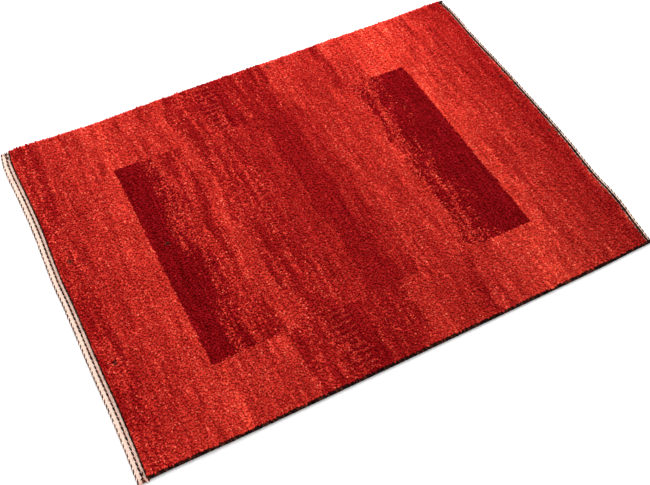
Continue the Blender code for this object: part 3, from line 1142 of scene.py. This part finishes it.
def wall_tufts(settings):
    """The lower tufts that show at the pile's walls, all round."""
    dice = np.random.default_rng(settings.seed + 3)
    points, turns, sizes = [], [], []
    length, width = settings.tuft_length, settings.tuft_width
    for side, height, degrees, share, pitch in WALL_ROWS:
        run, fixed, at, heading = WALL_SIDES[side]
        count = round(run / (pitch * MM))
        step = (np.arange(count) + dice.uniform(*WALL_JITTER, count)) / count
        held = np.full(count, at)
        x, y = foot_point(held, step) if fixed == "u" else foot_point(step, held)
        out = math.radians(heading)
        x, y = x - math.cos(out) * GROUND_INSET, y - math.sin(out) * GROUND_INSET
        z = height * MM + dice.uniform(-WALL_UNEVEN, WALL_UNEVEN, count) * MM
        tilt = np.radians(degrees + dice.normal(0, WALL_TURN_OUT, count))
        way = out + dice.normal(0, WALL_TURN_ALONG, count)
        points.append(np.stack((x, y, z), 1))
        turns.append(np.stack((np.zeros(count), tilt, way), 1))
        sizes.append(np.tile((width * WALL_WIDE, width * WALL_WIDE, length * share), (count, 1)))
    return placed_yarns(
        "wall_tufts",
        tuft_shape(length, width),
        TUFT_SIDES,
        np.concatenate(points),
        np.concatenate(turns),
        np.concatenate(sizes),
        material("tuft_wool"),
        WALL_SPREAD,
        settings,
    )


# The weave of the kilim: its relief, how full a weft is, how low it lies between two warps, and where the
# band starts under its edge stitch, as a share of the stitch's width
WEAVE_HIGH = 0.55 * MM
WEFT_FULLNESS = 0.8
WEFT_LOW = 0.45
BAND_START = 0.4


def kilim_band(name, edge, inward, width, sides, settings):
    """One flat-woven band, whose wefts cross its warps in a brick pattern, as a closed slab."""
    steps_in = 3 * round((width - STITCH_WIDE) / settings.weft_pitch)
    steps_along = 2 * round((sides[1] - sides[0]) / settings.warp_pitch)
    inset, y = np.meshgrid(
        np.linspace(STITCH_WIDE * BAND_START, width + GROUND_INSET, steps_in + 1),
        np.linspace(*sides, steps_along + 1),
        indexing="ij",
    )
    x = edge(y) + inward * inset
    weft = inset / settings.weft_pitch
    warp = y / settings.warp_pitch
    over = np.abs(np.sin(math.pi * weft)) ** WEFT_FULLNESS
    brick = blend(WEFT_LOW, 1.0, np.abs(np.sin(math.pi * (warp + 0.5 * np.floor(weft)))))
    z = KILIM_THICK - WEAVE_HIGH + WEAVE_HIGH * over * brick
    top, relief = np.stack((x, y, z), 2), over * brick
    if inward < 0:
        top, inset, relief = top[::-1], inset[::-1], relief[::-1]
    data = closed_slab(name, top)
    data.shade_smooth()
    data.set_sharp_from_angle(angle=SHARP_ANGLE)
    under = np.ones(len(data.vertices) - relief.size)
    # The relief goes to the attribute tip, from which the weft wool gets painted shade in the weave's hollows
    for key, values in (("inward", inset), ("tip", relief)):
        full = np.concatenate((values.ravel(), under))
        data.attributes.new(key, "FLOAT", "POINT").data.foreach_set("value", full)
    data.materials.append(material("weft_wool"))
    plan_map(data)
    return shown(name, data)


# A float of a twined row, as a lens: (along, height, width across, thickness)
FLOAT = (
    (-6.0, 0.0, 0.0, 0.0),
    (-4.6, 0.8, 2.5, 1.6),
    (0.0, 1.3, 3.7, 2.1),
    (4.6, 0.8, 2.5, 1.6),
    (6.0, 0.0, 0.0, 0.0),
)
FLOAT_SLANT = math.radians(10)
FLOAT_SIDES = 5
FLOAT_SPREAD = (0.06, 0.1)

# The light yarn of a two-coloured row is thinner. The all-dark rows are thicker and stand higher, and their
# two yarns lie closer together, in millimetres from the row's middle
LIGHT_YARN = 0.6
DARK_ROW = 1.25
DARK_ROW_RISE = 0.6
YARNS_APART = 0.9
DARK_YARNS_APART = 0.35


def even_places(start, end, pitch):
    """Evenly spaced places between two limits, about a pitch apart."""
    count = round((end - start) / pitch)
    return blend(start, end, (np.arange(count) + 0.5) / count)


def twined_row(name, edge, inward, middle, sides, light, settings):
    """Two yarns twined across a band: a float of each in turn, laid aslant, the second one light or dark."""
    y = even_places(*sides, settings.twist_pitch)
    second = np.arange(len(y)) % 2
    side = np.where(second, 1, -1) * (YARNS_APART if light else DARK_YARNS_APART)
    size = np.where(second * light, LIGHT_YARN, 1.0)
    if not light:
        size = size * DARK_ROW
    x = edge(y) + inward * (middle + side * MM)
    z = np.full(len(y), KILIM_THICK + (0.0 if light else DARK_ROW_RISE) * MM)
    return placed_yarns(
        name,
        FLOAT,
        FLOAT_SIDES,
        np.stack((x, y, z), 1),
        (0.0, 0.0, math.pi / 2 + FLOAT_SLANT),
        np.stack((size, size, size), 1),
        material("twined_yarn"),
        FLOAT_SPREAD,
        settings,
        dye=second * light,
    )


# A whip stitch over the outer edge, from under the band to its top: (out, height, width across, thickness)
WHIP = (
    (-7.4, 2.3, 0.0, 0.0),
    (-5.4, 3.0, 2.2, 1.0),
    (1.0, 3.1, 2.8, 1.3),
    (4.8, 1.8, 2.6, 1.3),
    (3.6, 0.9, 2.1, 1.0),
    (-0.6, 0.8, 0.0, 0.0),
)
WHIP_SLANT = math.radians(80)
WHIP_SIDES = 5
WHIP_SPREAD = (0.05, 0.08)
WHIP_INSET = 1.0 * MM
LIGHT_STITCH = 0.62


def edge_stitch(name, edge, inward, sides, settings):
    """Slanted whip stitches round a band's outer edge, every second one light and narrower."""
    y = even_places(*sides, settings.stitch_pitch)
    x = edge(y) + inward * WHIP_INSET
    heading = 0.0 if inward < 0 else math.pi
    light = np.arange(len(y)) % 2
    size = np.where(light, LIGHT_STITCH, 1.0)
    return placed_yarns(
        name,
        WHIP,
        WHIP_SIDES,
        np.stack((x, y, np.zeros(len(y))), 1),
        (0.0, 0.0, heading + WHIP_SLANT),
        np.stack((size, size, np.ones(len(y))), 1),
        material("whip_yarn"),
        WHIP_SPREAD,
        settings,
        dye=light,
    )


# A cut yarn end at a left corner: (reach, height, width across, thickness)
TAIL = (
    (-2.0, 0.6, 0.0, 0.0),
    (0.0, 1.2, 2.4, 1.8),
    (3.0, 1.7, 2.2, 1.7),
    (5.6, 1.1, 1.3, 1.0),
    (6.4, 0.9, 0.0, 0.0),
)
TAIL_SIDES = 6
TAIL_SPREAD = (0.1, 0.12)

# Where they lie at each left corner: (in from the end, in from the first one's place beside the long side,
# heading in degrees, 1 for light). The far corner mirrors the near one
TAIL_START = 2.5
TAILS = (
    (11.0, 1.0, 250, 0),
    (13.5, 0.5, 285, 0),
    (12.5, 6.0, 205, 0),
    (14.0, 11.0, 80, 0),
    (16.0, 2.0, 262, 1),
    (18.0, 1.0, 275, 1),
    (20.5, 3.0, 255, 0),
    (21.5, 9.0, 230, 0),
    (8.0, 0.5, 262, 1),
    (4.0, 0.5, 280, 1),
)


def corner_tails(name, edge, inward, sides, settings):
    """The cut ends of the twined yarns at the near and far corners of the left band."""
    points, turns, dyes = [], [], []
    for side, way in ((sides[0], 1), (sides[1], -1)):
        for across, along, heading, light in TAILS:
            y = side + way * (along + TAIL_START) * MM
            points.append((float(edge(y)) + inward * across * MM, y, KILIM_THICK))
            turns.append((0.0, 0.0, way * math.radians(heading)))
            dyes.append(light)
    return placed_yarns(
        name,
        TAIL,
        TAIL_SIDES,
        np.array(points),
        turns,
        (1, 1, 1),
        material("twined_yarn"),
        TAIL_SPREAD,
        settings,
        dye=dyes,
    )


# A loose fibre: (reach, height, width across, thickness)
FIBRE = ((0.0, 0.0, 0.22, 0.22), (1.5, 0.5, 0.18, 0.18), (3.4, 0.4, 0.0, 0.0))
FIBRE_SIDES = 3
FIBRE_SPREAD = (0.2, 0.4)

# How many lie along a band's edge, how far in and how high they start, and their random turns, in radians,
# sideways and upwards
FIBRE_COUNT = 900
FIBRE_INSET = (0.6, 2.4)
FIBRE_HEIGHT = (1.1, 2.4)
FIBRE_TURN = 0.8
FIBRE_RISE = 0.15


def edge_fuzz(name, edge, inward, sides, settings):
    """Short loose fibres along a band's outer edge."""
    dice = np.random.default_rng(settings.seed + 5)
    count = FIBRE_COUNT
    y = dice.uniform(*sides, count)
    x = edge(y) + inward * dice.uniform(*FIBRE_INSET, count) * MM
    z = dice.uniform(*FIBRE_HEIGHT, count) * MM
    heading = (0.0 if inward < 0 else math.pi) + dice.normal(0, FIBRE_TURN, count)
    turns = np.stack((np.zeros(count), -np.abs(dice.normal(0, FIBRE_RISE, count)), heading), 1)
    return placed_yarns(
        name,
        FIBRE,
        FIBRE_SIDES,
        np.stack((x, y, z), 1),
        turns,
        (1, 1, 1),
        material("loose_fibre"),
        FIBRE_SPREAD,
        settings,
    )


# A wrap of a selvedge, once round its core: steps round it, the sides, width and thickness of its yarn, and
# the share of its radius at which it is flat underneath
WRAP_STEPS = 10
WRAP_SIDES = 4
WRAP_WIDE = 3.61
WRAP_THICK = 1.3
WRAP_FLAT = 0.86
WRAP_SLANT = math.radians(24)
WRAP_SPREAD = (0.05, 0.03)


def wrap_rows(radius):
    """The rows of one wrap: a closed loop round the origin, flattened where it lies on the floor."""
    rows = []
    for k in range(WRAP_STEPS):
        turn = 2 * math.pi * k / WRAP_STEPS
        across, up = radius * math.cos(turn), max(radius * math.sin(turn), -radius * WRAP_FLAT)
        rows.append((across / MM, up / MM, WRAP_WIDE, WRAP_THICK))
    return rows


def selvedge(name, edge, inward, start, end, settings):
    """Wool wrapped closely round the edge warps along one long side."""
    x = even_places(start, end, settings.wrap_pitch)
    radius = SELVEDGE_DIAMETER / 2 - WRAP_THICK / 2 * MM
    y = edge(x) + inward * SELVEDGE_DIAMETER / 2
    z = np.full(len(x), radius * WRAP_FLAT + WRAP_THICK / 2 * MM)
    return placed_yarns(
        name,
        wrap_rows(radius),
        WRAP_SIDES,
        np.stack((x, y, z), 1),
        (0.0, 0.0, math.pi / 2 + WRAP_SLANT),
        (1, 1, 1),
        material("wrap_yarn"),
        WRAP_SPREAD,
        settings,
        closed=True,
    )


class GABBEH_OT_pile(Operator):
    """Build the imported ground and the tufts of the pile"""

    bl_idname = "gabbeh.pile"
    bl_label = "Build Pile"

    def execute(self, context):
        settings = context.scene.gabbeh
        ground = finish_piece(pile_ground(), "pile_wool", "woven_cloth")
        tufts = [*pile_tufts(settings), wall_tufts(settings)]
        for piece in tufts:
            finish_piece(piece, "pile_wool", "woven_cloth")
        return {"FINISHED"}


def band_sides():
    """The near and far limits of the left band, which runs to the corners, and of the right one."""
    left, right = -RUG_LENGTH / 2, RUG_LENGTH / 2
    return {
        "left": (float(near_edge(left)), float(far_edge(left))),
        "right": (float(near_foot(right)), float(far_foot(right))),
    }


def row_sides(side):
    """The near and far limits of a band's twined rows and of its outer edge's stitches."""
    low, high = band_sides()[side]
    return low + END_MARGIN, high - END_MARGIN


# The outer edge of each band, the way inward from it, its width, and the place of its outer twined row
BANDS = {
    "left": (left_edge, 1, KILIM_LEFT, TWINED_MIDDLE_LEFT),
    "right": (right_edge, -1, KILIM_RIGHT, TWINED_MIDDLE_RIGHT),
}


class GABBEH_OT_kilim(Operator):
    """Weave the flat band at each short end"""

    bl_idname = "gabbeh.kilim"
    bl_label = "Weave Kilim Bands"

    def execute(self, context):
        settings = context.scene.gabbeh
        for side, (edge, inward, width, _middle) in BANDS.items():
            band = kilim_band(f"kilim_{side}", edge, inward, width, band_sides()[side], settings)
            finish_piece(band, "kilim_wool", "woven_cloth")
        return {"FINISHED"}


class GABBEH_OT_rows(Operator):
    """Twine the dark rows across the kilim bands"""

    bl_idname = "gabbeh.rows"
    bl_label = "Twine Rows"

    def execute(self, context):
        settings = context.scene.gabbeh
        for side, (edge, inward, width, middle) in BANDS.items():
            places = (("outer", middle, int(side == "left")), ("inner", width - GAP - TWINED_WIDE / 2, 0))
            for row, place, light in places:
                name = f"twined_{row}_{side}"
                made = twined_row(name, edge, inward, place, row_sides(side), light, settings)
                finish_piece(made, "twining_wool", f"twined_row_{row}_{side}")
        return {"FINISHED"}


class GABBEH_OT_edges(Operator):
    """Whip the outer edges of the bands, and leave their loose fibres and the rows' cut ends"""

    bl_idname = "gabbeh.edges"
    bl_label = "Stitch Outer Edges"

    def execute(self, context):
        settings = context.scene.gabbeh
        for side, (edge, inward, _width, _middle) in BANDS.items():
            made = edge_stitch(f"whip_{side}", edge, inward, row_sides(side), settings)
            finish_piece(made, "stitching_wool", f"edge_stitch_{side}")
            fuzz = edge_fuzz(f"edge_fuzz_{side}", edge, inward, row_sides(side), settings)
            finish_piece(fuzz, "kilim_wool")
        tails = corner_tails("corner_tails", left_edge, 1, band_sides()["left"], settings)
        finish_piece(tails, "twining_wool")
        return {"FINISHED"}


class GABBEH_OT_selvedges(Operator):
    """Wrap the selvedges of the two long sides"""

    bl_idname = "gabbeh.selvedges"
    bl_label = "Wrap Selvedges"

    def execute(self, context):
        settings = context.scene.gabbeh
        for name, edge, inward in (("near", near_edge, 1), ("far", far_edge, -1)):
            y = float(edge(0.0))
            start = float(left_edge(y)) + KILIM_LEFT
            end = float(right_edge(y)) - END_MARGIN
            made = selvedge(f"binding_{name}", edge, inward, start, end, settings)
            finish_piece(made, "binding_wool", f"selvedge_{name}")
        return {"FINISHED"}


# The floor's half side, the strength of the light from all round, and the soft box: its place, the way it
# shines, its size and its power
FLOOR_HALF = 30.0
SKY_LIGHT = 0.94
SOFT_BOX_PLACE = (0.8, 1.6, 2.3)
SOFT_BOX_AIM = (-0.6, -1.3, -2.3)
SOFT_BOX_SIZE = 3.0
SOFT_BOX_POWER = 90

# The camera: its place and its axes, and its lens and sensor in millimetres
CAMERA_PLACE = (-0.62047, -1.05889, 1.62184)
CAMERA_RIGHT = (0.88390678, -0.46609981, 0.03820694)
CAMERA_UP = (0.36650059, 0.74113603, 0.56248974)
CAMERA_AHEAD = (0.2904929, 0.48318562, -0.82592102)
CAMERA_LENS = 50.636
CAMERA_SENSOR = 36


class GABBEH_OT_stage(Operator):
    """Set up the floor, the soft light and the camera"""

    bl_idname = "gabbeh.stage"
    bl_label = "Set Up Studio"

    def execute(self, context):
        settings = context.scene.gabbeh
        scene = context.scene
        half = FLOOR_HALF
        corners = [(-half, -half, 0), (half, -half, 0), (half, half, 0), (-half, half, 0)]
        floor = shown("floor", new_mesh("floor", corners, [(0, 1, 2, 3)]))
        pale = bpy.data.materials.new("studio_floor")
        pale.use_nodes = True
        shader = pale.node_tree.nodes["Principled BSDF"]
        shader.inputs["Base Color"].default_value = (*settings.floor_colour, 1)
        shader.inputs["Roughness"].default_value = 0.9
        shader.inputs["Specular IOR Level"].default_value = 0.1
        floor.data.materials.append(pale)

        world = bpy.data.worlds.new("studio_air")
        world.use_nodes = True
        world.node_tree.nodes["Background"].inputs["Color"].default_value = (1, 1, 1, 1)
        world.node_tree.nodes["Background"].inputs["Strength"].default_value = SKY_LIGHT
        scene.world = world

        light = bpy.data.lights.new("soft_box", "AREA")
        light.shape = "DISK"
        light.size = SOFT_BOX_SIZE
        light.energy = SOFT_BOX_POWER
        lamp = bpy.data.objects.new("soft_box", light)
        lamp.location = SOFT_BOX_PLACE
        lamp.rotation_euler = Vector(SOFT_BOX_AIM).to_track_quat("-Z", "Y").to_euler()
        scene.collection.objects.link(lamp)

        lens = bpy.data.cameras.new("camera")
        lens.lens = CAMERA_LENS
        lens.sensor_width = CAMERA_SENSOR
        camera = bpy.data.objects.new("camera", lens)
        axes = (CAMERA_RIGHT, CAMERA_UP, [-a for a in CAMERA_AHEAD])
        camera.matrix_world = Matrix.Translation(CAMERA_PLACE) @ Matrix(axes).transposed().to_4x4()
        scene.collection.objects.link(camera)
        scene.camera = camera
        scene.view_settings.view_transform = "Standard"
        return {"FINISHED"}


class GABBEH_PT_rug(Panel):
    """The rug's settings and the steps that build it"""

    bl_idname = "GABBEH_PT_rug"
    bl_label = "Gabbeh Rug"
    bl_space_type = "VIEW_3D"
    bl_region_type = "UI"
    bl_category = "Rug"

    def draw(self, context):
        settings = context.scene.gabbeh
        for name in RugSettings.__annotations__:
            self.layout.prop(settings, name)
        for step in STEPS:
            self.layout.operator(step.bl_idname)


STEPS = (
    GABBEH_OT_pile,
    GABBEH_OT_kilim,
    GABBEH_OT_rows,
    GABBEH_OT_edges,
    GABBEH_OT_selvedges,
    GABBEH_OT_stage,
)
CLASSES = (RugSettings, *STEPS, GABBEH_PT_rug)


def register():
    for item in CLASSES:
        bpy.utils.register_class(item)
    bpy.types.Scene.gabbeh = PointerProperty(type=RugSettings)


def unregister():
    del bpy.types.Scene.gabbeh
    for item in reversed(CLASSES):
        bpy.utils.unregister_class(item)


def main():
    register()
    bpy.ops.gabbeh.pile()
    bpy.ops.gabbeh.kilim()
    bpy.ops.gabbeh.rows()
    bpy.ops.gabbeh.edges()
    bpy.ops.gabbeh.selvedges()
    bpy.ops.gabbeh.stage()


if __name__ == "__main__":
    main()
